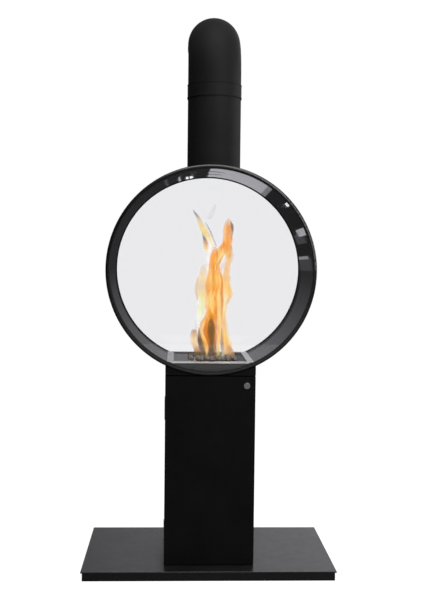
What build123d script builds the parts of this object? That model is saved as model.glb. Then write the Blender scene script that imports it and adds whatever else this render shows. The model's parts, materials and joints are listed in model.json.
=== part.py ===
from build123d import *
import math
import os

# A round see-through gas fire on a slim pedestal, with a flue that turns straight back.
# All sizes are millimetres. X is to the right, Y to the back, Z up from the floor.
# The origin is on the floor under the middle of the base.

# Fits shared by many pieces
fit = 0.3
running_fit = 0.06

# Base
base_width = 914.0
base_depth = 545.0
base_height = 35.0
base_sheet = 5.0
base_lip = 5.2
base_edge = 0.8
base_wall = 6.0
base_rib_wall = 6.0
anchor_radius = 5.5
anchor_spacing_x = 200.0
anchor_spacing_y = 250.0
supply_hole_radius = 25.0

# Pedestal casing and the shadow gap over it
pedestal_width = 326.0
pedestal_depth = 408.0
sheet = 3.0
front_flange = 20.0
front_rail = 18.0
floor_flange = 35.0
shadow_gap = 4.0
drum_to_door = 1.0
casing_bolt_radius = 4.0
casing_bolt_across = 13.0
casing_bolt_head = 5.3
casing_bolt_nut = 6.5
casing_bolt_inset_x = 20.0
casing_bolt_inset_y = 45.0

# Door
door_depth = 20.0
door_lip = 15.0
door_seam = 3.0
door_foot_gap = 3.0
door_fold = 1.6
buffer_radius = 5.0
buffer_inset = 60.0

# Door hinges
knuckle_radius = 3.0
hinge_pin_radius = 1.5
hinge_offset = 1.0
hinge_leaf = 1.2
hinge_leaf_width = 17.0
hinge_length = 84.0
hinge_knuckle_gap = 0.5
hinge_inset = 118.0

# Cam lock
lock_from_top = 33.0
lock_from_flange = 1.5
lock_head_radius = 11.5
lock_head = 2.0
lock_head_edge = 0.6
lock_barrel_radius = 9.5
lock_plug_radius = 6.5
lock_nut_across = 23.0
lock_nut = 4.0
key_slot_width = 1.4
key_slot_height = 8.0
key_slot_depth = 8.0
cam_width = 16.0
cam_from_wall = 3.0
cam_sheet = 2.0
cam_screw_across = 9.0
cam_screw_head = 2.4

# Drum
drum_radius = 380.0
drum_depth = 408.0
drum_centre = 1105.0
shell_wall = 2.0
air_gap = 10.0
liner_wall = 1.8
liner_rib = 2.0
liner_rib_inset = 40.0
liner_bridge = 84.0
gas_slot_ledge = 3.0
service_margin = 16.0

# Windows, the same at the front and the rear
rim_face = 12.0
rim_sheet = 5.0
rim_skirt = 16.0
rim_edge = 8.5
opening_inset = 16.5
gasket_width = 10.0
gasket_sheet = 2.7
glass_inset = 4.0
glass_sheet = 4.0
retainer_width = 10.2
retainer_sheet = 2.0
retainer_split = 16.0
seal_width = 2.0
tongue_sheet = 1.0
tongue_length = 34.0
tongue_arc = 5.0
tongue_count = 6

# Hearth
hearth_rise = 36.0
trim_height = 5.0
trim_width = 24.0
fascia_sheet = 2.0
deck_sheet = 1.5
pilot_cover_width = 53.5
pilot_cover_sheet = 2.0
pilot_cover_upstand = 5.0
pilot_cover_upstand_sheet = 1.2

# Burner, inside the field of embers
burner_inset_x = 27.0
burner_inset_y = 30.0
burner_height = 16.0
burner_sheet = 1.2
burner_flange = 6.0
burner_slot_margin = 12.0
burner_slot_width = 2.5
burner_slot_length = 20.0
burner_slot_pitch = 15.0
burner_slot_row_pitch = 34.0
injector_across = 17.0
injector_body = 12.0
injector_neck_radius = 7.0
injector_neck = 8.0
injector_orifice = 0.9

# Embers, between the pilot cover and the trim
ember_gap_left = 1.5
ember_gap_right = 30.0
pilot_bay = 72.4
ember_pitch = 20.0
ember_radius = 8.4
ember_radius_change = 1.0
ember_wave_column = 2.1
ember_wave_row = 3.7
ember_sink = 0.32

# Pilot
pilot_gap = 1.0
pilot_radius = 4.0
pilot_height = 10.0
pilot_tail = 14.0
pilot_hood_radius = 5.5
pilot_hood = 5.0
pilot_hood_edge = 1.2
pilot_bracket_length = 34.0
pilot_bracket_width = 28.0
pilot_bracket_sheet = 1.2
electrode_offset = 8.0
electrode_radius = 2.4
electrode_height = 10.0
electrode_rod_radius = 0.8
electrode_rod = 6.0
thermocouple_offset_x = 11.0
thermocouple_offset_y = 9.6
thermocouple_radius = 1.7
thermocouple_height = 14.0
thermocouple_edge = 1.2

# Flue
flue_shift = 11.0
flue_radius = 100.0
flue_wall = 1.0
flue_inner_radius = 65.0
flue_inner_wall = 0.8
flue_rise = 290.0
flue_joint_gap = 0.5
flue_spigot_height = 45.0
flue_spigot_wall = 1.5
air_hole_ledge = 1.5
elbow_lead = 67.5
elbow_bend = 135.0
elbow_outlet = 60.0
inner_socket_reach = 20.0
inner_socket_wall = 0.8
band_radius = 101.6
band_below = 28.0
band_above = 24.0
band_bead = 1.2
band_edge = 0.4
band_top_bead = 4.0
band_groove = 1.5
band_groove_depth = 0.8
band_foot_bead = 5.0
band_split = 6.0
band_ear = 4.0
band_ear_reach = 18.0
band_bolt_reach = 11.0
band_bolt_radius = 3.0
band_bolt_across = 10.0
spacer_sheet = 2.0
spacer_height = 20.0

# Controls behind the door
control_drop = 259.0
panel_below = 70.0
panel_height = 170.0
panel_front = 122.0
panel_sheet = 2.0
panel_flange = 20.0
valve_width = 90.0
valve_height = 62.0
valve_depth = 68.0
valve_edge = 4.0
control_x = -24.0
flame_x = 24.0
spindle_radius = 4.0
spindle_in_valve = 20.0
spindle_travel = 4.0
knob_gap = 10.0
knob_depth = 18.0
knob_wall = 5.0
knob_edge = 1.6
knob_pointer = 1.2
control_knob_radius = 19.0
flame_knob_radius = 15.0
knob_flute_radius = 3.0
knob_flutes = 12
igniter_x = 95.0
igniter_radius = 8.0
igniter_depth = 60.0
igniter_flange_radius = 11.0
igniter_flange = 2.0
igniter_button_radius = 6.0
igniter_button_edge = 1.4
igniter_button = 8.0
igniter_button_tail = 8.0
igniter_travel = 5.0

# Gas tap and pipes
tap_x = -90.0
tap_height = 160.0
tap_radius = 14.0
tap_body = 50.0
tap_hex_across = 27.0
tap_hex = 16.0
tap_thread_radius = 10.5
tap_thread = 18.0
tap_bore_radius = 6.0
tap_stem_radius = 5.0
tap_stem = 30.0
tap_stem_socket = 6.0
tap_lever_length = 62.0
tap_lever_width = 12.0
tap_lever_sheet = 3.0
tap_lever_edge = 4.8
tap_clip_wall = 2.5
tap_clip_web = 5.0
tap_clip_width = 20.0
pipe_y = -80.0
supply_pipe_radius = 6.0
supply_bend = 25.0
burner_pipe_x = 10.0
burner_pipe_radius = 5.0
burner_pipe_bend = 40.0
pilot_pipe_x = -25.0
pilot_pipe_radius = 2.0
pilot_pipe_bend = 25.0
pipe_wall = 1.0
pipe_run_share = 0.25
boss_height = 8.0
boss_wall = 4.0

# Places worked out from the sizes above
half_width = pedestal_width / 2
half_depth = pedestal_depth / 2
pedestal_top = drum_centre - drum_radius - drum_to_door
neck_foot = pedestal_top + shadow_gap
door_back = -half_depth + door_depth
casing_front = door_back + door_seam
door_foot = base_height + door_foot_gap
inner_half = half_width - sheet
hinge_x = -half_width + hinge_offset
hinge_y = (door_back + casing_front) / 2
hinge_heights = (door_foot + hinge_inset, pedestal_top - hinge_inset)
buffer_heights = (door_foot + buffer_inset, pedestal_top - buffer_inset)
flange_back = casing_front + sheet
lock_x = half_width - front_flange - lock_barrel_radius - lock_from_flange
lock_z = pedestal_top - lock_from_top
cam_front = flange_back + 2 * fit
cam_reach = inner_half - cam_from_wall - lock_x
half_drum = drum_depth / 2
barrel_half = half_drum - rim_skirt - fit
liner_outer = drum_radius - shell_wall - air_gap
liner_inner = liner_outer - liner_wall
trim_top = drum_centre - liner_inner + hearth_rise
trim_foot = trim_top - trim_height
deck_foot = trim_foot - deck_sheet
hearth_radius = liner_inner - fit
hearth_reach = barrel_half - fit
tray_half_width = math.sqrt(hearth_radius ** 2 - (drum_centre - trim_top) ** 2) - trim_width
tray_half_depth = hearth_reach - trim_width
cover_left = -tray_half_width + fit
cover_right = cover_left + pilot_cover_width
field_left = cover_right + ember_gap_left
field_right = tray_half_width - ember_gap_right
field_half_depth = tray_half_depth - pilot_bay
pilot_x = field_left + pilot_bracket_width / 2
pilot_y = -field_half_depth - pilot_gap - pilot_bracket_length / 2
service_half_x = service_margin - pilot_x
service_half_y = service_margin - pilot_y
burner_centre = (field_left + field_right) / 2
burner_left = field_left + burner_inset_x
burner_right = field_right - burner_inset_x
burner_half = field_half_depth - burner_inset_y
gasket_back = half_drum - rim_sheet - gasket_sheet
glass_front = gasket_back - fit
glass_back = glass_front - glass_sheet
opening_radius = drum_radius - opening_inset
skirt_inner = drum_radius - shell_wall
tongue_outer = skirt_inner - fit
tongue_inner = tongue_outer - tongue_sheet
retainer_outer = tongue_inner - fit
retainer_inner = retainer_outer - retainer_width
retainer_front = glass_back - fit
retainer_back = retainer_front - retainer_sheet
drum_top = drum_centre + drum_radius
flue_joint = drum_top + flue_rise
bend_start = flue_joint + elbow_lead
elbow_axis = bend_start + elbow_bend
outlet_y = elbow_bend + elbow_outlet
spigot_outer = flue_radius - flue_wall - fit
spigot_inner = spigot_outer - flue_spigot_wall
control_height = pedestal_top - control_drop
panel_foot = control_height - panel_below
panel_top = panel_foot + panel_height
panel_back = -panel_front + panel_sheet
valve_front = panel_back + fit
valve_top = control_height + valve_height / 2
burner_top = trim_foot + burner_sheet
burner_foot = burner_top - burner_height
tap_thread_foot = tap_height - tap_body / 2 - tap_hex - tap_thread
tap_top = tap_height + tap_body / 2 + tap_hex


def block(x0, x1, y0, y1, z0, z1):
    """A block from its lowest to its highest corner."""
    middle = ((x0 + x1) / 2, (y0 + y1) / 2, (z0 + z1) / 2)
    return Pos(*middle) * Box(x1 - x0, y1 - y0, z1 - z0)


def rod_z(radius, x, y, z0, z1):
    return Pos(x, y, (z0 + z1) / 2) * Cylinder(radius, z1 - z0)


def rod_y(radius, x, z, y0, y1):
    return Pos(x, (y0 + y1) / 2, z) * Rot(90, 0, 0) * Cylinder(radius, y1 - y0)


def rod_x(radius, y, z, x0, x1):
    return Pos((x0 + x1) / 2, y, z) * Rot(0, 90, 0) * Cylinder(radius, x1 - x0)


def tube_z(outer, inner, x, y, z0, z1):
    return rod_z(outer, x, y, z0, z1) - rod_z(inner, x, y, z0, z1)


def drum_disc(radius, y0, y1):
    """A disc on the drum's axis."""
    return rod_y(radius, 0, drum_centre, y0, y1)


def drum_ring(outer, inner, y0, y1):
    return drum_disc(outer, y0, y1) - drum_disc(inner, y0, y1)


def hex_z(across, x, y, z0, z1):
    face = RegularPolygon(radius=across / 2, side_count=6, major_radius=False)
    return Pos(x, y, z0) * extrude(face, z1 - z0)


def hex_y(across, x, z, y0, y1):
    face = RegularPolygon(radius=across / 2, side_count=6, major_radius=False)
    return Pos(x, y1, z) * Rot(90, 0, 0) * extrude(face, y1 - y0)


def hex_x(across, y, z, x0, x1):
    face = RegularPolygon(radius=across / 2, side_count=6, major_radius=False)
    return Pos(x0, y, z) * Rot(0, 90, 0) * extrude(face, x1 - x0)


def spread(count, pitch, middle=0.0):
    """Places at an even pitch about a middle."""
    return [middle + (n - (count - 1) / 2) * pitch for n in range(count)]


def save(name, *shapes):
    """Writes one sub-part, as one solid or as a group of separate solids."""
    solids = [solid for shape in shapes for solid in shape.solids()]
    whole = solids[0] if len(solids) == 1 else Compound(children=solids)
    export_step(whole, f"parts/{name}.step")


# Base

def base_bolt_places():
    xs = (-half_width + casing_bolt_inset_x, half_width - casing_bolt_inset_x)
    ys = (casing_front + casing_bolt_inset_y, half_depth - casing_bolt_inset_y)
    return [(x, y) for x in xs for y in ys]


def anchor_places():
    xs = (-anchor_spacing_x / 2, anchor_spacing_x / 2)
    ys = (-anchor_spacing_y / 2, anchor_spacing_y / 2)
    return [(x, y) for x in xs for y in ys]


def make_base():
    half_x = base_width / 2
    half_y = base_depth / 2
    sheet_foot = base_height - base_sheet
    plate = block(-half_x, half_x, -half_y, half_y, sheet_foot, base_height)
    plate = chamfer(plate.edges().group_by(Axis.Z)[-1], base_edge)
    for x, y in base_bolt_places():
        plate -= rod_z(casing_bolt_radius + fit, x, y, sheet_foot, base_height)
    for x, y in anchor_places():
        plate -= rod_z(anchor_radius, x, y, sheet_foot, base_height)
    plate -= rod_z(supply_hole_radius, tap_x, pipe_y, sheet_foot, base_height)
    save("base_top_sheet", plate)

    frame_x = half_x - base_lip
    frame_y = half_y - base_lip
    inner_x = frame_x - base_wall
    inner_y = frame_y - base_wall
    frame = block(-frame_x, frame_x, -frame_y, frame_y, 0, sheet_foot)
    frame -= block(-inner_x, inner_x, -inner_y, inner_y, 0, sheet_foot)
    save("base_frame", frame)

    ribs = []
    for side in (-1, 1):
        middle = side * half_width
        half = base_rib_wall / 2
        ribs.append(block(middle - half, middle + half, -inner_y, inner_y, 0, sheet_foot))
    save("base_ribs", *ribs)

    bolts = []
    head_foot = base_height + sheet
    for x, y in base_bolt_places():
        bolt = hex_z(casing_bolt_across, x, y, head_foot, head_foot + casing_bolt_head)
        bolt += rod_z(casing_bolt_radius, x, y, sheet_foot - casing_bolt_nut, head_foot)
        bolt += hex_z(casing_bolt_across, x, y, sheet_foot - casing_bolt_nut, sheet_foot)
        bolts.append(bolt)
    save("casing_bolts", *bolts)


# Hinges

def hinge_spans():
    """The foot and top of each hinge, with the foot and top of its middle knuckle."""
    spans = []
    for middle in hinge_heights:
        foot = middle - hinge_length / 2
        third = hinge_length / 3
        spans.append((foot, foot + third, foot + 2 * third, foot + hinge_length))
    return spans


def hinge_relief():
    """The space that casing and door leave round each hinge."""
    relief = None
    for foot, _, _, top in hinge_spans():
        space = rod_z(knuckle_radius + 2 * fit, hinge_x, hinge_y, foot - 2 * fit, top + 2 * fit)
        relief = space if relief is None else relief + space
    return relief


def make_hinges():
    frame_leaves = []
    door_leaves = []
    pins = []
    gap = hinge_knuckle_gap
    x0 = hinge_x
    x1 = hinge_x + hinge_leaf_width
    for foot, low, high, top in hinge_spans():
        middle = rod_z(knuckle_radius, hinge_x, hinge_y, low + gap / 2, high - gap / 2)
        lower = rod_z(knuckle_radius, hinge_x, hinge_y, foot, low - gap / 2)
        upper = rod_z(knuckle_radius, hinge_x, hinge_y, high + gap / 2, top)
        bore = rod_z(hinge_pin_radius + running_fit, hinge_x, hinge_y, foot, top)
        clear = knuckle_radius + fit
        frame_leaf = block(x0, x1, casing_front - hinge_leaf, casing_front, foot, top)
        frame_leaf -= rod_z(clear, hinge_x, hinge_y, low - gap / 2, high + gap / 2)
        frame_leaves.append(frame_leaf + lower + upper - bore)
        door_leaf = block(x0, x1, door_back, door_back + hinge_leaf, foot, top)
        door_leaf -= rod_z(clear, hinge_x, hinge_y, foot, low + gap / 2)
        door_leaf -= rod_z(clear, hinge_x, hinge_y, high - gap / 2, top)
        door_leaves.append(door_leaf + middle - bore)
        pins.append(rod_z(hinge_pin_radius, hinge_x, hinge_y, foot, top))
    save("hinge_leaves_casing", *frame_leaves)
    save("hinge_leaves_door", *door_leaves)
    save("hinge_pins", *pins)


# Pedestal

def make_casing():
    foot = base_height
    back = half_depth
    casing = block(-half_width, half_width, casing_front, back, foot, pedestal_top)
    casing -= block(-inner_half, inner_half, flange_back, back - sheet, foot + sheet, pedestal_top)
    opening_half = half_width - front_flange
    casing -= block(-opening_half, opening_half, casing_front, flange_back,
                    foot + front_rail, pedestal_top - front_rail)
    floor_half = half_width - floor_flange
    casing -= block(-floor_half, floor_half, flange_back + floor_flange, back - floor_flange,
                    foot, foot + sheet)
    for x, y in base_bolt_places():
        casing -= rod_z(casing_bolt_radius + fit, x, y, foot, foot + sheet)
    casing -= hinge_relief()
    save("pedestal_casing", casing)


def make_saddle():
    plate_top = pedestal_top - sheet
    plate = block(-inner_half, inner_half, flange_back, half_depth - sheet,
                  plate_top - sheet, plate_top)
    recess = inner_half - sheet
    back = half_depth - 2 * sheet
    walls = block(-recess, recess, flange_back, back, plate_top, drum_centre)
    walls -= block(-recess + sheet, recess - sheet, flange_back + sheet, back - sheet,
                   plate_top, drum_centre)
    saddle = plate + walls - drum_disc(drum_radius + fit, -half_drum, half_drum)
    saddle -= block(-service_half_x, service_half_x, -service_half_y, service_half_y,
                    plate_top - sheet, plate_top)
    save("drum_saddle", saddle)

    reach = recess + fit
    neck = block(-half_width, half_width, -half_depth, half_depth, neck_foot, drum_centre)
    neck -= block(-inner_half, inner_half, -half_depth + sheet, half_depth - sheet,
                  neck_foot + sheet, drum_centre)
    neck -= block(-reach, reach, flange_back - fit, back + fit, neck_foot, neck_foot + sheet)
    neck -= drum_disc(drum_radius + fit, -half_depth, half_depth)
    save("neck_cladding", neck)


def make_door():
    foot = door_foot
    front = -half_depth
    door = block(-half_width, half_width, front, door_back, foot, pedestal_top)
    door = fillet(door.edges().filter_by(Axis.Z).group_by(Axis.Y)[0], door_fold)
    door -= block(-inner_half, inner_half, front + sheet, door_back - sheet,
                  foot + sheet, pedestal_top - sheet)
    lip = inner_half - door_lip
    door -= block(-lip, lip, door_back - sheet, door_back,
                  foot + sheet + door_lip, pedestal_top - sheet - door_lip)
    door -= rod_y(lock_barrel_radius + fit, lock_x, lock_z, front, front + sheet)
    door -= hinge_relief()
    save("pedestal_door", door)

    pad_x = inner_half - door_lip / 2
    pads = []
    for height in buffer_heights:
        pads.append(rod_y(buffer_radius, pad_x, height, door_back + fit, casing_front))
    save("door_buffers", *pads)


def make_lock():
    front = -half_depth
    head_front = front - lock_head
    barrel_back = flange_back
    body = rod_y(lock_head_radius, lock_x, lock_z, head_front, front)
    body = fillet(body.edges().group_by(Axis.Y)[0], lock_head_edge)
    body += rod_y(lock_barrel_radius, lock_x, lock_z, front, barrel_back)
    body -= rod_y(lock_plug_radius + running_fit, lock_x, lock_z, head_front, barrel_back)
    save("lock_barrel", body)

    nut = hex_y(lock_nut_across, lock_x, lock_z, front + sheet, front + sheet + lock_nut)
    nut -= rod_y(lock_barrel_radius + running_fit, lock_x, lock_z,
                 front + sheet, front + sheet + lock_nut)
    save("lock_nut", nut)

    plug = rod_y(lock_plug_radius, lock_x, lock_z, head_front + fit, cam_front)
    plug -= block(lock_x - key_slot_width / 2, lock_x + key_slot_width / 2,
                  head_front, head_front + key_slot_depth,
                  lock_z - key_slot_height / 2, lock_z + key_slot_height / 2)
    save("lock_plug", plug)

    cam_back = cam_front + cam_sheet
    cam_end = lock_z - cam_reach + cam_width / 2
    cam = rod_y(cam_width / 2, lock_x, lock_z, cam_front, cam_back)
    cam += block(lock_x - cam_width / 2, lock_x + cam_width / 2, cam_front, cam_back,
                 cam_end, lock_z)
    cam += rod_y(cam_width / 2, lock_x, cam_end, cam_front, cam_back)
    screw = hex_y(cam_screw_across, lock_x, lock_z, cam_back, cam_back + cam_screw_head)
    save("lock_cam", cam, screw)


# Drum

def make_drum():
    shell = drum_ring(drum_radius, drum_radius - shell_wall, -barrel_half, barrel_half)
    liner = drum_ring(liner_outer, liner_inner, -barrel_half, barrel_half)
    rib_end = barrel_half - liner_rib_inset
    for y0 in (-rib_end, rib_end - liner_rib):
        liner += drum_ring(skirt_inner - fit, liner_outer, y0, y0 + liner_rib)
    service = block(-service_half_x, service_half_x, -service_half_y, service_half_y,
                    drum_centre - drum_radius, drum_centre)
    shell -= service
    shell -= rod_z(spigot_inner - air_hole_ledge, flue_shift, 0, drum_centre, drum_top)
    liner -= service
    half_bridge = liner_bridge / 2
    slot_radius = flue_inner_radius - flue_inner_wall - gas_slot_ledge
    gas_slots = rod_z(slot_radius, flue_shift, 0, drum_centre, drum_top)
    gas_slots -= block(-drum_radius, drum_radius, -half_bridge, half_bridge,
                       drum_centre, drum_top)
    liner -= gas_slots
    save("drum_shell", shell)
    save("firebox_liner", liner)


def window_pieces():
    """The pieces of one window, as it stands at the rear, by name."""
    face_back = half_drum - rim_sheet
    rim = drum_disc(drum_radius, half_drum - rim_skirt, half_drum)
    rim = fillet(rim.edges().group_by(Axis.Y)[-1], rim_edge)
    rim -= drum_disc(skirt_inner, half_drum - rim_skirt, face_back)
    rim -= drum_disc(drum_radius - rim_face, face_back, half_drum)
    gasket = drum_ring(opening_radius + gasket_width, opening_radius, gasket_back, face_back)
    glass = drum_disc(skirt_inner - glass_inset, glass_back, glass_front)
    retainer = drum_ring(retainer_outer, retainer_inner, retainer_back, retainer_front)
    retainer -= block(-retainer_split / 2, retainer_split / 2, retainer_back, retainer_front,
                      drum_centre - drum_radius, drum_centre)
    seal = drum_ring(liner_outer + seal_width, liner_inner + fit,
                     barrel_half + fit / 2, retainer_back)
    return {"rim": [rim], "gaskets": [gasket, seal], "glass": [glass],
            "retaining_ring": [retainer]}


def make_windows():
    for name, pieces in window_pieces().items():
        save(f"rear_{name}", *pieces)
        save(f"front_{name}", *[mirror(piece, about=Plane.XZ) for piece in pieces])

    slot = drum_ring(tongue_outer, tongue_inner,
                     -half_drum + rim_sheet + fit, -half_drum + rim_sheet + tongue_length)
    half_arc = math.radians(tongue_arc / 2)
    chord = 2 * drum_radius * math.sin(half_arc)
    tongues = []
    for n in range(tongue_count):
        turn = 360 * (n + 0.5) / tongue_count
        window = block(-chord / 2, chord / 2, -half_drum, half_drum, 0, drum_radius)
        tongues.append(slot & (Pos(0, 0, drum_centre) * Rot(0, turn, 0) * window))
    save("front_window_tongues", *tongues)


# Hearth

def pilot_places():
    """Where the pilot burner, the electrode and the thermocouple stand."""
    near = pilot_y - electrode_offset
    return ((pilot_x, pilot_y), (pilot_x + electrode_offset, near),
            (pilot_x - thermocouple_offset_x, pilot_y + thermocouple_offset_y))


def make_hearth():
    low = drum_centre - drum_radius
    fascias = []
    for y0 in (-hearth_reach, hearth_reach - fascia_sheet):
        fascia = drum_disc(hearth_radius, y0, y0 + fascia_sheet)
        fascia &= block(-drum_radius, drum_radius, y0, y0 + fascia_sheet, low, deck_foot)
        fascias.append(fascia)
    save("hearth_fascias", *fascias)

    reach = hearth_reach
    deck = drum_disc(hearth_radius, -reach, reach)
    deck &= block(-drum_radius, drum_radius, -reach, reach, deck_foot, trim_foot)
    deck -= block(burner_left - fit, burner_right + fit, -burner_half - fit,
                  burner_half + fit, deck_foot, trim_foot)
    radii = (pilot_radius, electrode_radius, thermocouple_radius)
    for (x, y), radius in zip(pilot_places(), radii):
        deck -= rod_z(radius + fit, x, y, deck_foot, trim_foot)
    save("hearth_deck", deck)

    trim = drum_disc(hearth_radius, -reach, reach)
    trim &= block(-drum_radius, drum_radius, -reach, reach, trim_foot, trim_top)
    trim -= block(-tray_half_width, tray_half_width, -tray_half_depth, tray_half_depth,
                  trim_foot, trim_top)
    save("burner_trim", trim)

    half = tray_half_depth - fit
    cover = block(cover_left, cover_right, -half, half,
                  trim_foot, trim_foot + pilot_cover_sheet)
    cover += block(cover_right - pilot_cover_upstand_sheet, cover_right, -half, half,
                   trim_foot, trim_foot + pilot_cover_upstand)
    save("pilot_cover", cover)


def copies(room, pitch):
    """How many copies at this pitch have their middles in this much room."""
    return int(room / pitch) + 1


def make_burner():
    x0 = burner_left
    x1 = burner_right
    half = burner_half
    wall = burner_sheet
    columns = copies(x1 - x0 - 2 * burner_slot_margin - burner_slot_width,
                     burner_slot_pitch)
    rows = copies(2 * (half - burner_slot_margin) - burner_slot_length,
                  burner_slot_row_pitch)
    burner = block(x0, x1, -half, half, burner_foot, burner_top)
    burner += block(x0 - burner_flange, x1 + burner_flange, -half - burner_flange,
                    half + burner_flange, trim_foot, burner_top)
    burner -= block(x0 + wall, x1 - wall, -half + wall, half - wall,
                    burner_foot + wall, burner_top - wall)
    for x in spread(columns, burner_slot_pitch, burner_centre):
        for y in spread(rows, burner_slot_row_pitch):
            burner -= block(x - burner_slot_width / 2, x + burner_slot_width / 2,
                            y - burner_slot_length / 2, y + burner_slot_length / 2,
                            burner_top - wall, burner_top)
    burner -= rod_z(injector_neck_radius + fit, burner_centre, 0, burner_foot,
                    burner_foot + wall)
    save("burner_box", burner)

    injector = hex_z(injector_across, burner_centre, 0, burner_foot - injector_body,
                     burner_foot)
    injector += rod_z(injector_neck_radius, burner_centre, 0, burner_foot,
                      burner_foot + injector_neck)
    bore_foot = burner_foot - injector_body
    injector -= rod_z(burner_pipe_radius - pipe_wall, burner_centre, 0, bore_foot, burner_foot)
    injector -= rod_z(injector_orifice, burner_centre, 0, burner_foot,
                      burner_foot + injector_neck)
    save("burner_injector", injector)


def make_embers():
    """Rounded stones in an uneven grid, each with a flat foot on the burner or its flange."""
    embers = []
    widest = 2 * (ember_radius + ember_radius_change)
    columns = copies(field_right - field_left - widest, ember_pitch)
    rows = copies(2 * field_half_depth - widest, ember_pitch)
    for column, x in enumerate(spread(columns, ember_pitch, burner_centre)):
        for row, y in enumerate(spread(rows, ember_pitch)):
            on_burner = burner_left <= x <= burner_right and abs(y) <= burner_half + fit
            seat = burner_top if on_burner else trim_foot
            if not on_burner and not clear_of_flange(x, y):
                continue
            wave = math.sin(ember_wave_column * column + ember_wave_row * row)
            radius = ember_radius + ember_radius_change * wave
            sink = ember_sink * radius
            low_angle = -math.degrees(math.asin(ember_sink))
            stone = Sphere(radius, arc_size1=low_angle, align=None)
            embers.append(Pos(x, y, seat + sink) * stone)
    save("ember_stones", *embers)


def clear_of_flange(x, y):
    """Whether a stone at this place stands on the deck, clear of the burner's flange."""
    room = ember_radius + ember_radius_change + fit
    outside_x = x < burner_left - burner_flange - room or x > burner_right + burner_flange + room
    outside_y = abs(y) > burner_half + burner_flange + room
    return outside_x or outside_y


def make_pilot():
    (x, y), (ex, ey), (tx, ty) = pilot_places()
    seat = trim_foot
    top = seat + pilot_bracket_sheet
    bracket = block(pilot_x - pilot_bracket_width / 2, pilot_x + pilot_bracket_width / 2,
                    pilot_y - pilot_bracket_length / 2, pilot_y + pilot_bracket_length / 2,
                    seat, top)
    bracket -= rod_z(pilot_radius + fit, x, y, seat, top)
    bracket -= rod_z(electrode_radius + fit, ex, ey, seat, top)
    bracket -= rod_z(thermocouple_radius + fit, tx, ty, seat, top)
    save("pilot_bracket", bracket)

    burner = rod_z(pilot_radius, x, y, seat - pilot_tail, seat + pilot_height)
    hood = rod_z(pilot_hood_radius, x, y, seat + pilot_height,
                 seat + pilot_height + pilot_hood)
    hood = fillet(hood.edges().group_by(Axis.Z)[-1], pilot_hood_edge)
    hood -= block(x, x + pilot_hood_radius, y - pilot_radius / 2, y + pilot_radius / 2,
                  seat + pilot_height, seat + pilot_height + pilot_hood / 2)
    save("pilot_burner", burner + hood)

    body_top = seat + electrode_height
    insulator = rod_z(electrode_radius, ex, ey, seat - pilot_tail, body_top)
    rod = rod_z(electrode_rod_radius, ex, ey, body_top, body_top + electrode_rod)
    save("ignition_electrode", insulator, rod)
    probe = rod_z(thermocouple_radius, tx, ty, seat - pilot_tail, seat + thermocouple_height)
    probe = fillet(probe.edges().group_by(Axis.Z)[-1], thermocouple_edge)
    save("thermocouple", probe)


# Flue

def bend(radius, start, run):
    """A solid quarter bend from straight up to straight back, with its straight ends."""
    face = Pos(flue_shift, 0, bend_start) * Circle(radius)
    turn = revolve(face, Axis((0, elbow_bend, bend_start), (-1, 0, 0)), 90)
    solid = turn + rod_z(radius, flue_shift, 0, start, bend_start)
    return solid + rod_y(radius, flue_shift, elbow_axis, elbow_bend, run)


def make_flue():
    x = flue_shift
    outer_bore = flue_radius - flue_wall
    inner_bore = flue_inner_radius - flue_inner_wall
    seat = drum_disc(drum_radius, -half_drum, half_drum)
    low = drum_centre

    spigot = tube_z(spigot_outer, spigot_inner, x, 0, low, drum_top + flue_spigot_height)
    save("flue_socket", spigot - seat)
    pipe_top = flue_joint - flue_joint_gap
    pipe = tube_z(flue_radius, outer_bore, x, 0, low, pipe_top)
    save("flue_pipe", pipe - seat)

    inner_seat = drum_disc(liner_outer + fit, -half_drum, half_drum)
    inner_top = flue_joint + inner_socket_reach
    inner = tube_z(flue_inner_radius, inner_bore, x, 0, low, inner_top)
    save("flue_inner_pipe", inner - inner_seat)

    elbow = bend(flue_radius, flue_joint, outlet_y) - bend(outer_bore, flue_joint, outlet_y)
    save("flue_elbow", elbow)

    socket_bore = flue_inner_radius + fit
    socket_outer = socket_bore + inner_socket_wall
    socket_foot = flue_joint - inner_socket_reach
    socket_top = inner_top + flue_joint_gap
    inner_elbow = bend(flue_inner_radius, socket_foot, outlet_y)
    inner_elbow += rod_z(socket_outer, x, 0, socket_foot, socket_top + inner_socket_wall)
    inner_elbow -= bend(inner_bore, socket_foot, outlet_y)
    inner_elbow -= rod_z(socket_bore, x, 0, socket_foot, socket_top)
    save("flue_inner_elbow", inner_elbow)

    spacers = []
    for turn in (0, 120, 240):
        arm = block(flue_inner_radius + fit, outer_bore - fit, -spacer_sheet / 2,
                    spacer_sheet / 2, -spacer_height / 2, spacer_height / 2)
        upright = Pos(x, 0, drum_top + flue_rise / 2) * Rot(0, 0, turn + 90) * arm
        along = Rot(-90, 0, 0) * Rot(0, 0, turn + 90) * arm
        spacers.append(upright)
        spacers.append(Pos(x, outlet_y - elbow_outlet / 2, elbow_axis) * along)
    save("flue_spacers", *spacers)


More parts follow.
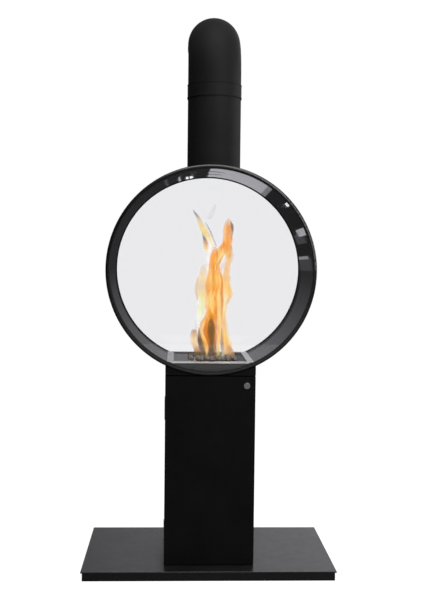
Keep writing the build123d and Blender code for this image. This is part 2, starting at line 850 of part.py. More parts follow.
def make_band():
    """The locking band round the joint of pipe and elbow, clamped at the back."""
    x = flue_shift
    bore = flue_radius + fit / 2
    foot = flue_joint - band_below
    top = flue_joint + band_above
    strap = rod_z(band_radius, x, 0, foot, top)
    head = rod_z(band_radius + band_bead / 2, x, 0, top - band_top_bead, top)
    base = rod_z(band_radius + band_bead, x, 0, foot, foot + band_foot_bead)
    head = fillet(head.edges(), band_edge)
    groove_top = top - band_top_bead
    groove = tube_z(band_radius, band_radius - band_groove_depth, x, 0,
                    groove_top - band_groove, groove_top)
    base = fillet(base.edges(), band_edge)
    ear_half = band_split / 2 + band_ear
    ears = block(x - ear_half, x + ear_half, flue_radius, band_radius + band_ear_reach,
                 foot + band_foot_bead, top - band_top_bead)
    band = strap - groove + head + base + ears
    band -= rod_z(bore, x, 0, foot, top)
    band -= block(x - band_split / 2, x + band_split / 2, 0, band_radius + band_ear_reach,
                  foot, top)
    middle = (foot + band_foot_bead + top - band_top_bead) / 2
    bolt_y = band_radius + band_bolt_reach
    band -= rod_x(band_bolt_radius + fit, bolt_y, middle, x - ear_half, x + ear_half)
    save("flue_locking_band", band)

    reach = ear_half + band_bolt_across / 2
    bolt = rod_x(band_bolt_radius, bolt_y, middle, x - reach, x + reach)
    bolt += hex_x(band_bolt_across, bolt_y, middle, x + ear_half, x + reach)
    bolt += hex_x(band_bolt_across, bolt_y, middle, x - reach, x - ear_half)
    save("flue_band_bolt", bolt)


# Controls

def knob(radius, x):
    """A fluted knob, open at the back for its spindle."""
    back = -panel_front - knob_gap
    front = back - knob_depth
    body = rod_y(radius, x, control_height, front, back)
    body = fillet(body.edges().group_by(Axis.Y)[0], knob_edge)
    for n in range(knob_flutes):
        turn = 2 * math.pi * n / knob_flutes
        flute_x = x + (radius + knob_flute_radius / 2) * math.cos(turn)
        flute_z = control_height + (radius + knob_flute_radius / 2) * math.sin(turn)
        body -= rod_y(knob_flute_radius, flute_x, flute_z, front, back)
    pointer_foot = control_height + radius / 2
    body -= block(x - knob_pointer / 2, x + knob_pointer / 2, front, front + knob_pointer,
                  pointer_foot, control_height + radius)
    body -= rod_y(spindle_radius, x, control_height, front + knob_wall, back)
    return body


def spindle(x):
    back = -panel_front - knob_gap
    front = back - knob_depth + knob_wall + fit
    return rod_y(spindle_radius - running_fit, x, control_height, front,
                 valve_front + spindle_in_valve)


def make_controls():
    front = -panel_front
    panel = block(-inner_half, inner_half, front, panel_back, panel_foot, panel_top)
    for side in (-1, 1):
        edge = sorted((side * inner_half, side * (inner_half - panel_sheet)))
        panel += block(edge[0], edge[1], front, front + panel_flange, panel_foot, panel_top)
    for x in (control_x, flame_x):
        panel -= rod_y(spindle_radius + 2 * fit, x, control_height, front, panel_back)
    panel -= rod_y(igniter_radius + fit, igniter_x, control_height, front, panel_back)
    save("control_panel", panel)

    valve_back = valve_front + valve_depth
    half = valve_width / 2
    valve = block(-half, half, valve_front, valve_back,
                  control_height - valve_height / 2, valve_top)
    valve = fillet(valve.edges().filter_by(Axis.Y), valve_edge)
    valve += rod_z(burner_pipe_radius + boss_wall, burner_pipe_x, pipe_y, valve_top,
                   valve_top + boss_height)
    valve += rod_z(pilot_pipe_radius + boss_wall, pilot_pipe_x, pipe_y, valve_top,
                   valve_top + boss_height)
    valve += rod_x(supply_pipe_radius + boss_wall, pipe_y, control_height,
                   -half - boss_height, -half)
    deepest = valve_front + spindle_in_valve + spindle_travel + 2 * fit
    for x in (control_x, flame_x):
        valve -= rod_y(spindle_radius, x, control_height, valve_front, deepest)
    save("gas_valve", valve)

    save("control_spindle", spindle(control_x))
    save("control_knob", knob(control_knob_radius, control_x))
    save("flame_spindle", spindle(flame_x))
    save("flame_knob", knob(flame_knob_radius, flame_x))

    body = rod_y(igniter_radius, igniter_x, control_height, front, front + igniter_depth)
    body += rod_y(igniter_flange_radius, igniter_x, control_height,
                  front - igniter_flange, front)
    seat = front + igniter_button_tail + igniter_travel
    body -= rod_y(igniter_button_radius + running_fit, igniter_x, control_height,
                  front - igniter_flange, seat + fit)
    save("igniter_body", body)
    button_front = front - igniter_flange - igniter_button
    button = rod_y(igniter_button_radius, igniter_x, control_height,
                   button_front, front + igniter_button_tail)
    button = fillet(button.edges().group_by(Axis.Y)[0], igniter_button_edge)
    save("igniter_button", button)


# Gas tap and pipes

def make_tap():
    half = tap_body / 2
    low = tap_height - half
    high = tap_height + half
    tap = rod_z(tap_radius, tap_x, pipe_y, low, high)
    tap += hex_z(tap_hex_across, tap_x, pipe_y, low - tap_hex, low)
    tap += hex_z(tap_hex_across, tap_x, pipe_y, high, high + tap_hex)
    tap += rod_z(tap_thread_radius, tap_x, pipe_y, tap_thread_foot, low - tap_hex)
    socket_front = pipe_y - tap_radius
    tap -= rod_y(tap_stem_radius, tap_x, tap_height, socket_front,
                 pipe_y - tap_radius + tap_stem_socket)
    tap -= rod_z(tap_bore_radius, tap_x, pipe_y, tap_thread_foot, low)
    save("gas_tap", tap)

    stem_back = pipe_y - tap_radius + tap_stem_socket - fit
    stem_front = stem_back - tap_stem
    lever = rod_y(tap_stem_radius - running_fit, tap_x, tap_height, stem_front, stem_back)
    half_width_lever = tap_lever_width / 2
    arm = block(tap_x - half_width_lever, tap_x + half_width_lever,
                stem_front - tap_lever_sheet, stem_front,
                tap_height - half_width_lever, tap_height + tap_lever_length)
    arm = fillet(arm.edges().filter_by(Axis.Y), tap_lever_edge)
    save("tap_lever", lever + arm)

    outer = tap_radius + tap_clip_wall
    clip_low = tap_height - tap_clip_width / 2
    clip_high = tap_height + tap_clip_width / 2
    clip = rod_z(outer, tap_x, pipe_y, clip_low, clip_high)
    clip += block(-inner_half, tap_x, pipe_y - tap_clip_web / 2, pipe_y + tap_clip_web / 2,
                  clip_low, clip_high)
    clip += block(-inner_half, -inner_half + tap_clip_wall, pipe_y - outer, pipe_y + outer,
                  clip_low, clip_high)
    clip -= rod_z(tap_radius + running_fit, tap_x, pipe_y, clip_low, clip_high)
    clip -= block(tap_x - tap_radius, tap_x + outer, pipe_y - outer,
                  pipe_y - tap_radius / 2, clip_low, clip_high)
    save("tap_bracket", clip)


def pipe(points, radius, bend_radius):
    """A bent pipe through these points, with its bore."""
    path = FilletPolyline(*points, radius=bend_radius)
    plane = Plane(origin=path @ 0, z_dir=path % 0)
    outer = sweep(plane * Circle(radius), path=path)
    inner = sweep(plane * Circle(radius - pipe_wall), path=path)
    return outer - inner


def make_pipes():
    half = valve_width / 2
    supply = [(tap_x, pipe_y, tap_top), (tap_x, pipe_y, control_height),
              (-half - boss_height, pipe_y, control_height)]
    save("supply_pipe", pipe(supply, supply_pipe_radius, supply_bend))

    boss_top = valve_top + boss_height
    injector_foot = burner_foot - injector_body
    run = pipe_run_share * (injector_foot - boss_top)
    burner = [(burner_pipe_x, pipe_y, boss_top),
              (burner_pipe_x, pipe_y, boss_top + 2 * run),
              (burner_centre, 0, injector_foot - run),
              (burner_centre, 0, injector_foot)]
    save("burner_pipe", pipe(burner, burner_pipe_radius, burner_pipe_bend))

    pilot_foot = trim_foot - pilot_tail
    run = pipe_run_share * (pilot_foot - boss_top)
    pilot = [(pilot_pipe_x, pipe_y, boss_top),
             (pilot_pipe_x, pipe_y, boss_top + run),
             (pilot_x, pilot_y, pilot_foot - run),
             (pilot_x, pilot_y, pilot_foot)]
    save("pilot_pipe", pipe(pilot, pilot_pipe_radius, pilot_pipe_bend))


os.makedirs("parts", exist_ok=True)
make_base()
make_hinges()
make_casing()
make_saddle()
make_door()
make_lock()
make_drum()
make_windows()
make_hearth()
make_burner()
make_embers()
make_pilot()
make_flue()
make_band()
make_controls()
make_tap()
make_pipes()
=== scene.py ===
import json
import math
import random

import bmesh
import bpy
from mathutils import Matrix, Vector, noise

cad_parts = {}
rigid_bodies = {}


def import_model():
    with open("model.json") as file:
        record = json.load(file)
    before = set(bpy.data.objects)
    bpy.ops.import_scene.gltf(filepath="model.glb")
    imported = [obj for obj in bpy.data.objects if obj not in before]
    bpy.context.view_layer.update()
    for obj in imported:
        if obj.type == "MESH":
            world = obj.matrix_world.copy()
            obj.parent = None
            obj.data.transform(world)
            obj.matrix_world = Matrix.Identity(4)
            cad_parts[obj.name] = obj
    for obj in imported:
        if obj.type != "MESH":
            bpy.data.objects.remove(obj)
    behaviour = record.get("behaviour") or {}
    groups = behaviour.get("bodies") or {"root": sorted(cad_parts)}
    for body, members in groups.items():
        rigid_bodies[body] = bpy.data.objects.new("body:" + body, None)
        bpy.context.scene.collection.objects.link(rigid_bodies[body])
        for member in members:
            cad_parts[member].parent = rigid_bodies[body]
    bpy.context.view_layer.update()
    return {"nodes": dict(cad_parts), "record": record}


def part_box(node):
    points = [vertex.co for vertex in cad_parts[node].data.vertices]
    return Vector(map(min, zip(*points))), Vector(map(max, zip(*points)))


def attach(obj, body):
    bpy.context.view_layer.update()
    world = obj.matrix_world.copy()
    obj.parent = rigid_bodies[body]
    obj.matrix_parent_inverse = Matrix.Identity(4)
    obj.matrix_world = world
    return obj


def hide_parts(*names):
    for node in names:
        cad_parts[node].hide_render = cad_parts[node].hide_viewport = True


# A round see-through gas fire on a slim pedestal. Lengths are metres, in the frame's axes:
# X to the right, Y to the back, Z up from the floor.

for left_over in list(bpy.data.objects):
    bpy.data.objects.remove(left_over)
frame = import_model()
nodes = frame["nodes"]
MM = 0.001

# Camera, as the photograph was taken: angles in degrees, lens and sensor in millimetres, and the
# nearest and farthest that it sees
CAMERA_PLACE = Vector((-0.1267, -3.4987, 1.1478))
CAMERA_YAW = 2.33
CAMERA_PITCH = -2.57
CAMERA_ROLL = 0.63
CAMERA_LENS = 55.26
CAMERA_SENSOR = 36.0
CAMERA_REACH = (0.05, 100.0)

# The studio is white to the camera. What the object mirrors is set by direction: by the x, y or z
# of a unit vector, or by slopes, which are sideways or upwards over the way to the back. The way
# back has a least value, and the studio's blue is this much stronger than its red and green.
WHITE = (1.0, 1.0, 1.0, 1.0)
STUDIO_BLUE = 1.05
LEAST_WAY_BACK = 0.02

# Its back: the level at the horizon, how it grows upwards and to the right, and the shares that
# it falls to below the horizon and high up
BACK_Y = (-0.1, 0.4)
BACK_LEVEL = 0.035
BACK_RISE = 1.24
BACK_TOP_SLOPE = 0.33
BACK_LOW_SLOPES = (-0.014, 0.0)
BACK_LOW_SHARE = 0.15
BACK_HIGH_SLOPES = (0.32, 0.64)
BACK_HIGH_SHARE = 0.15
SIDE_LEVEL = 1.72
SIDE_RISE = 5.3
SIDE_LIMITS = (0.25, 2.6)

# Its front, right and ceiling: their levels, and the directions over which they come in. The
# front's band has its middle, half height and soft edge.
FRONT_LEVEL = 0.022
FRONT_GLOW = 0.08
FRONT_Y = (-0.4, -0.8)
FRONT_BAND_Z = (-0.08, 0.12, 0.05)
RIGHT_LEVEL = 0.25
RIGHT_X = (0.35, 0.9)
RIGHT_Z = (-0.1, 0.2)
CEILING_LEVEL = 0.20
CEILING_Z = (0.40, 0.65)

# Lit things low behind the fire, which its glossy liner mirrors. Each has its angle in degrees
# from straight down about this centre, its half angle, its distance and half depth, and its level.
MIRROR_CENTRE = (-0.030, 0.0067)
MIRROR_LEAST_Y = 0.5
MIRROR_SOFT_ANGLE = 0.25
MIRROR_SOFT_DEPTH = 0.0006
MIRRORED = {
    "table": (16.7, 18.1, 0.122, 0.020, 0.74),
    "table_edge": (-3.2, 1.9, 0.122, 0.020, 0.35),
    "lamp": (-20.5, 1.6, 0.1262, 0.0022, 2.2),
    "shelf": (-45.3, 3.2, 0.1215, 0.0060, 0.80),
    "shelf_glow": (-50.5, 4.5, 0.1150, 0.0050, 0.10),
    "panel": (-68.0, 1.4, 0.1110, 0.0065, 0.50),
    "panel_glow": (-73.0, 4.0, 0.1120, 0.0080, 0.09),
    "small_lamp": (-79.0, 1.6, 0.1165, 0.0020, 0.16),
    "twin_lamp_a": (43.6, 0.65, 0.1112, 0.0026, 2.6),
    "twin_lamp_b": (45.6, 0.6, 0.1106, 0.0024, 2.2),
    "post": (49.1, 0.35, 0.1098, 0.0036, 0.9),
    "far_post": (54.5, 0.5, 0.1080, 0.0050, 0.10),
}

# Soft lights: place, the point that they face, width, height, and power in watts
SOFTBOXES = {
    "front_softbox": ((2.0, -3.6, 3.0), (0.0, 0.0, 1.4), 3.0, 2.4, 76.0),
    "right_softbox": ((3.2, 0.6, 1.8), (0.0, 0.0, 1.2), 1.2, 2.2, 25.0),
    "ceiling_softbox": ((0.3, -1.4, 4.8), (0.3, -1.2, 0.0), 3.0, 3.0, 70.0),
    "drum_softbox": ((0.1, -1.0, 2.35), (0.1, -0.98, 0.0), 1.4, 0.8, 6.0),
    "low_softbox": ((0.1, -3.4, 0.39), (0.0, 0.0, 0.77), 2.4, 0.30, 2.6),
}

# Floor: the glow that the camera alone sees, and the grey of its matt paint
FLOOR_RADIUS = 5.0
FLOOR_SIDES = 64
FLOOR_DROP = 0.0004
FLOOR_GLOW = 0.96
FLOOR_GREY = (0.24, 0.24, 0.24, 1.0)

# Most of a noise lies between these two values
NOISE_LOW = 0.3
NOISE_HIGH = 0.7

# Brushed metal: how fine its grain is along x, y and z, and its tint where it has been hot
ALONG_X = (8.0, 900.0, 900.0)
ALONG_Z = (900.0, 900.0, 8.0)
HEAT_TINT = (0.55, 0.42, 0.26, 1.0)

# Panes: what they let through, what they mirror straight on, and how steeply that grows at a slant
PANE_TINT = (0.967, 0.967, 0.972, 1.0)
PANE_MIRROR = 0.017
PANE_STEEPNESS = 5.0

# Painted shade on the liner, a dark matt film towards its rear edge and low down: where it starts,
# over what lengths it comes in, how much it covers, and the film's colour
SHADE_START = 0.105
SHADE_EDGE = 0.03
SHADE_TOP = 1.15
SHADE_FADE = 0.12
SHADE_COVER = 0.62
DARK_FILM_COLOUR = (0.012, 0.011, 0.010, 1.0)

# Ember stones: one in each cell of the bed. Radii are shares of a cell, the sink is a share of
# the radius, and the lumps and dents of a stone have a size and a fineness. Stray is how far a
# stone lies off its cell's middle, and apart keeps the stones' shapes different.
EMBER_GLOW = 0.22
EMBER_SEED = 7
EMBER_CELL = 0.020
EMBER_TOP_SPARE = 0.0008
EMBER_RADII = (0.42, 0.66)
EMBER_STRAY = 0.006
EMBER_SINK = 0.12
EMBER_WIDTHS = (0.85, 1.0)
EMBER_HEIGHTS = (0.6, 0.8)
EMBER_BODY = 0.80
EMBER_LUMP = (0.20, 1.6)
EMBER_DENT = (0.10, 4.0)
EMBER_APART = 50

# Flames: nested skins, each with its size and its share of the strand's cover. Swell and depth
# scale the given half widths, and fade is the share of the length over which each end thins out.
# Least is the smallest half width in millimetres. Light may pass so many clear layers in a row.
FLAME_SIDES = 16
FLAME_STEPS = 6
FLAME_SKINS = ((1.0, 0.22), (0.80, 0.26), (0.58, 0.26), (0.34, 0.26))
FLAME_SWELL = 1.38
FLAME_DEPTH = 0.75
FLAME_FADE = 0.14
FLAME_LEAST = 0.5
FLAME_STRENGTH = 1.10
CLEAR_LAYERS = 96

# How far a strand sways to the front and back, in millimetres, and how uneven its skins are.
# Fineness is for each millimetre of height, and apart keeps the strands' sways different.
SWAY = 5.0
SWAY_FINENESS = 0.016
SWAY_APART = 3.1
WOBBLE = 0.30
WOBBLE_FINENESS = 0.035

# Flame colours, as screen values from 0 to 255
TONES = {
    "slate": (118, 108, 104), "grey": (152, 148, 142), "mist": (205, 210, 214),
    "rose": (226, 206, 206), "beige": (229, 206, 172), "butter": (247, 221, 138),
    "cream": (252, 244, 220), "white": (254, 249, 243), "apricot": (243, 158, 78),
    "peach": (247, 190, 112), "amber": (249, 163, 62), "rust": (222, 128, 42),
    "gold": (255, 203, 108), "straw": (250, 214, 138), "sand": (228, 184, 128),
    "moss": (104, 84, 46), "umber": (98, 74, 50), "lime": (238, 240, 186),
    "mint": (246, 249, 232), "clay": (196, 144, 96), "olive": (150, 138, 88),
    "ice": (176, 186, 168),
}

# Flame strands: place in depth, cover in the middle, colours from the top down, and points
# from the top down as x, z and half width in millimetres
STRANDS = {
    "left_wisp": (26, 0.90, ("grey", "grey", "beige", "butter", "butter", "cream", "cream"),
                  [(-66, 1336, 1), (-56, 1320, 4), (-46, 1305, 6), (-37, 1286, 8), (-27, 1264, 11),
                   (-14, 1241, 11), (-2, 1224, 10), (8, 1207, 9), (15, 1188, 5)]),
    "wisp_edge": (20, 0.50, ("grey", "slate", "grey", "grey"),
                  [(-20, 1290, 1), (-10, 1272, 3), (1, 1252, 3), (11, 1228, 3), (20, 1207, 3),
                   (27, 1188, 1)]),
    "left_fragment": (38, 0.88, ("mist", "grey", "slate", "clay", "sand", "straw", "cream"),
                      [(-30, 1252, 2), (-22, 1236, 5), (-17, 1220, 7), (-14, 1204, 8),
                       (-13, 1188, 8), (-10, 1170, 4)]),
    "grey_wisp": (10, 0.45, ("mist", "mist"),
                  [(21, 1357, 3), (14, 1338, 7), (6, 1319, 9), (-1, 1305, 8), (-6, 1294, 3)]),
    "white_band": (30, 0.85, ("cream", "white", "white"),
                   [(-4, 1219, 2), (1, 1196, 5), (-1, 1176, 5), (-5, 1151, 5), (-5, 1127, 5),
                    (-7, 1102, 4), (-9, 1083, 1)]),
    "right_finger": (-8, 0.96, ("rose", "beige", "apricot", "apricot", "amber", "apricot", "gold",
                                "sand"),
                     [(69, 1303, 2), (69, 1288, 9), (68, 1269, 12), (67, 1241, 13),
                      (66, 1210, 13), (66, 1185, 12), (68, 1164, 9), (70, 1148, 3)]),
    "finger_edge": (-24, 0.85, ("grey", "slate", "slate", "clay", "clay"),
                    [(74, 1291, 1), (81, 1276, 4), (83, 1260, 4), (82, 1240, 3), (79, 1215, 1)]),
    "finger_light": (-30, 0.60, ("gold", "straw", "gold"),
                     [(58, 1282, 1), (56, 1258, 3), (57, 1230, 4), (58, 1205, 2)]),
    "finger_root": (-20, 0.70, ("clay", "sand", "clay"),
                    [(80, 1200, 1), (79, 1184, 4), (77, 1168, 5), (74, 1152, 2)]),
    "bridge": (-2, 0.95, ("apricot", "amber", "gold", "gold", "amber"),
               [(60, 1220, 3), (54, 1198, 11), (44, 1177, 14), (34, 1154, 13), (27, 1132, 11),
                (23, 1108, 4)]),
    "bridge_light": (-14, 0.80, ("straw", "cream", "straw"),
                     [(55, 1196, 1), (50, 1179, 3), (39, 1158, 3), (29, 1138, 3), (23, 1117, 3),
                      (20, 1096, 1)]),
    "gap_edge": (-20, 0.55, ("clay", "grey", "clay"),
                 [(49, 1158, 1), (41, 1146, 2), (36, 1134, 2), (32, 1124, 1)]),
    "gap_light": (34, 0.70, ("straw", "cream", "rose", "white"),
                  [(69, 1164, 2), (64, 1148, 6), (56, 1131, 7), (49, 1113, 5), (47, 1095, 1)]),
    "trunk": (6, 0.97, ("amber", "amber", "amber", "gold", "amber", "gold", "amber", "rust"),
              [(20, 1196, 3), (18, 1176, 9), (17, 1150, 12), (17, 1127, 14), (19, 1103, 17),
               (20, 1075, 22), (19, 1049, 25), (17, 1023, 24), (15, 996, 22), (15, 971, 21),
               (15, 947, 19), (16, 928, 15), (17, 908, 7)]),
    "trunk_shade": (-14, 0.70, ("sand", "rust", "amber", "rust", "amber"),
                    [(24, 1190, 1), (27, 1166, 3), (27, 1140, 4), (24, 1110, 3), (22, 1085, 1)]),
    "trunk_right_shade": (-16, 0.72, ("amber", "rust", "rust", "amber"),
                          [(34, 1104, 1), (44, 1080, 3), (47, 1050, 3), (46, 1015, 4),
                           (48, 985, 4), (46, 950, 4), (45, 915, 2)]),
    "crossing_left": (-30, 0.80, ("gold", "straw", "gold", "gold"),
                      [(22, 1032, 1), (14, 1010, 4), (6, 985, 4), (12, 955, 4), (22, 925, 1)]),
    "crossing_right": (-26, 0.75, ("rust", "amber", "rust", "amber"),
                       [(14, 1018, 1), (22, 992, 4), (24, 965, 5), (22, 935, 5), (26, 905, 2)]),
    "trunk_core": (-10, 0.80, ("amber", "rust", "rust", "amber"),
                   [(17, 1127, 2), (15, 1103, 3), (16, 1086, 5), (17, 1065, 6), (17, 1044, 5),
                    (15, 1025, 2)]),
    "trunk_left_light": (-22, 0.85, ("gold", "straw", "straw", "gold"),
                         [(9, 1040, 1), (3, 1017, 4), (-3, 997, 5), (0, 976, 4), (7, 958, 4),
                          (14, 940, 2)]),
    "trunk_right_light": (-12, 0.80, ("straw", "gold", "gold"),
                          [(20, 1124, 1), (25, 1103, 3), (31, 1079, 4), (36, 1055, 4),
                           (38, 1035, 2)]),
    "trunk_left_edge": (-10, 0.60, ("gold", "amber", "apricot"),
                        [(1, 1148, 1), (-1, 1117, 3), (-5, 1086, 4), (-9, 1055, 6),
                         (-7, 1027, 6), (-5, 1006, 3)]),
    "bright_middle": (-34, 0.92, ("gold", "straw", "straw", "straw", "gold", "straw", "sand"),
                      [(33, 1049, 2), (34, 1018, 4), (35, 991, 5), (35, 963, 5), (36, 936, 5),
                       (36, 908, 5), (36, 881, 5), (36, 853, 5), (35, 826, 5), (35, 801, 5),
                       (35, 776, 3)]),
    "right_strand": (22, 0.86, ("sand", "peach", "peach", "gold", "straw", "straw", "peach",
                                "straw", "gold", "sand"),
                     [(80, 1184, 6), (78, 1164, 13), (72, 1136, 11), (66, 1106, 9),
                      (64, 1079, 11), (62, 1054, 13), (64, 1030, 15), (66, 1008, 15),
                      (60, 985, 12), (56, 960, 10), (54, 936, 9), (56, 911, 9), (60, 887, 9),
                      (65, 859, 10), (70, 835, 11), (75, 810, 11), (80, 789, 10), (83, 775, 5)]),
    "right_bulge": (30, 0.80, ("gold", "gold", "sand", "gold"),
                    [(72, 1062, 2), (76, 1040, 6), (79, 1016, 7), (76, 994, 6), (69, 970, 2)]),
    "right_light": (8, 0.70, ("straw", "cream", "straw"),
                    [(60, 1041, 2), (63, 1020, 4), (62, 999, 5), (57, 975, 5), (53, 951, 3),
                     (51, 930, 1)]),
    "right_inner": (-6, 0.80, ("sand", "clay", "umber", "clay"),
                    [(46, 892, 2), (48, 862, 4), (49, 836, 5), (50, 815, 5), (49, 790, 3)]),
    "left_strand": (16, 0.78, ("beige", "beige", "straw", "beige", "butter", "lime", "lime",
                               "mint", "white"),
                    [(-15, 1134, 1), (-21, 1120, 8), (-23, 1099, 10), (-26, 1075, 12),
                     (-28, 1054, 15), (-30, 1029, 15), (-28, 1009, 13), (-26, 988, 11),
                     (-29, 967, 11), (-33, 946, 10), (-36, 925, 8), (-38, 904, 5),
                     (-40, 888, 1)]),
    "left_outline": (28, 0.62, ("beige", "sand", "sand", "beige"),
                     [(-39, 1081, 1), (-44, 1074, 3), (-48, 1050, 5), (-49, 1022, 6),
                      (-46, 1001, 4), (-43, 979, 1)]),
    "left_glow": (40, 0.60, ("lime", "mint", "white"),
                  [(-31, 1001, 2), (-30, 980, 8), (-33, 955, 10), (-37, 931, 9), (-40, 908, 5),
                   (-42, 892, 1)]),
    "leg_upper": (-24, 0.80, ("amber", "peach", "apricot"),
                  [(9, 966, 2), (-1, 949, 4), (-10, 935, 5), (-16, 919, 4), (-21, 904, 2)]),
    "left_leg": (-40, 0.94, ("amber", "gold", "straw", "gold", "amber", "peach", "sand"),
                 [(-15, 930, 2), (-22, 908, 4), (-28, 886, 4), (-28, 867, 4), (-22, 850, 5),
                  (-14, 833, 5), (-10, 816, 5), (-9, 798, 4), (-10, 780, 2)]),
    "leg_shade": (-34, 0.66, ("amber", "rust", "rust", "umber"),
                  [(-6, 930, 1), (-12, 905, 4), (-14, 880, 5), (-8, 852, 4), (-2, 825, 3),
                   (-1, 800, 1)]),
    "core": (10, 0.97, ("rust", "moss", "moss", "moss", "umber", "umber"),
             [(9, 944, 1), (9, 922, 5), (9, 898, 9), (8, 868, 12), (8, 839, 13), (9, 814, 12),
              (10, 793, 11), (11, 776, 6)]),
    "core_sheath": (34, 0.96, ("amber", "amber", "rust", "rust", "clay", "umber"),
                    [(8, 962, 6), (7, 925, 20), (4, 887, 28), (2, 850, 30), (2, 814, 30),
                     (3, 780, 22)]),
    "left_filler": (44, 0.55, ("straw", "straw", "straw", "cream"),
                    [(-12, 1075, 3), (-14, 1040, 10), (-16, 1000, 12), (-18, 960, 10),
                     (-24, 925, 6)]),
    "right_filler": (46, 0.50, ("straw", "straw", "straw", "sand", "sand"),
                     [(52, 1090, 4), (48, 1040, 12), (48, 980, 14), (46, 920, 14), (54, 860, 14),
                      (62, 800, 12)]),
    "foot_middle": (14, 0.88, ("straw", "gold", "sand", "sand"),
                    [(56, 872, 3), (58, 842, 8), (62, 810, 11), (65, 780, 11)]),
    "foot_left": (4, 0.85, ("clay", "clay", "umber", "umber"),
                  [(-44, 816, 2), (-44, 803, 8), (-40, 790, 13), (-36, 775, 12)]),
    "foot_right": (-4, 0.75, ("sand", "clay", "clay", "umber"),
                   [(76, 826, 2), (80, 806, 8), (84, 790, 10), (86, 774, 9)]),
    "core_flame": (-28, 0.62, ("sand", "rust", "clay"),
                   [(25, 894, 1), (23, 866, 2), (22, 846, 3), (20, 825, 3), (19, 795, 2)]),
    "left_core": (14, 0.94, ("sand", "umber", "moss", "moss"),
                  [(-38, 888, 1), (-37, 860, 5), (-34, 831, 8), (-29, 810, 9), (-25, 791, 9),
                   (-22, 777, 4)]),
    "left_lobe": (-18, 0.80, ("grey", "clay", "sand", "straw", "sand", "clay", "umber"),
                  [(-58, 882, 5), (-58, 868, 9), (-60, 846, 10), (-57, 826, 10), (-51, 808, 8),
                   (-45, 788, 6)]),
    "lobe_stem": (-6, 0.50, ("rose", "beige", "sand"),
                  [(-51, 919, 1), (-50, 892, 3), (-49, 864, 3), (-47, 840, 3), (-44, 815, 2),
                   (-43, 800, 1)]),
    "middle_foot": (-46, 0.60, ("straw", "olive", "olive"),
                    [(32, 808, 3), (34, 792, 7), (35, 777, 6), (37, 771, 2)]),
    "pale_root": (-50, 0.66, ("clay", "ice", "ice"),
                  [(48, 848, 1), (50, 824, 3), (52, 800, 5), (52, 784, 5), (51, 773, 2)]),
}


# Node graphs

class Graph:
    """A graph of nodes."""

    def __init__(self, tree):
        self.tree = tree

    def add(self, kind, **values):
        """A new node, with these properties."""
        node = self.tree.nodes.new(kind)
        for key, value in values.items():
            setattr(node, key, value)
        return node

    def put(self, source, socket):
        """Links a socket, or sets a plain value."""
        if isinstance(source, bpy.types.NodeSocket):
            self.tree.links.new(source, socket)
        else:
            socket.default_value = source

    def math(self, operation, a, b=0.0):
        node = self.add("ShaderNodeMath", operation=operation)
        self.put(a, node.inputs[0])
        self.put(b, node.inputs[1])
        return node.outputs[0]

    def plus(self, total, *parts):
        for part in parts:
            total = self.math("ADD", total, part)
        return total

    def times(self, total, *parts):
        for part in parts:
            total = self.math("MULTIPLY", total, part)
        return total

    def spread(self, source, low, high, to_low=0.0, to_high=1.0, steps="LINEAR"):
        """Maps one range of values to another."""
        node = self.add("ShaderNodeMapRange", interpolation_type=steps)
        self.put(source, node.inputs["Value"])
        node.inputs["From Min"].default_value = low
        node.inputs["From Max"].default_value = high
        node.inputs["To Min"].default_value = to_low
        node.inputs["To Max"].default_value = to_high
        return node.outputs["Result"]

    def ease(self, source, low, high, to_low=0.0, to_high=1.0):
        """As spread, with a soft start and end."""
        return self.spread(source, low, high, to_low, to_high, "SMOOTHSTEP")

    def within(self, source, middle, half, soft):
        """One inside the range and nothing outside it."""
        off = self.math("ABSOLUTE", self.math("SUBTRACT", source, middle))
        return self.ease(off, half + soft, half - soft)

    def split(self, source):
        """The x, y and z of a vector."""
        node = self.add("ShaderNodeSeparateXYZ")
        self.put(source, node.inputs["Vector"])
        return node.outputs

    def mix_colours(self, factor, first, second, blend="MIX"):
        node = self.add("ShaderNodeMix", data_type="RGBA", blend_type=blend)
        self.put(factor, node.inputs["Factor"])
        self.put(first, node.inputs["A"])
        self.put(second, node.inputs["B"])
        return node.outputs["Result"]

    def camera_ray(self):
        return self.add("ShaderNodeLightPath").outputs["Is Camera Ray"]


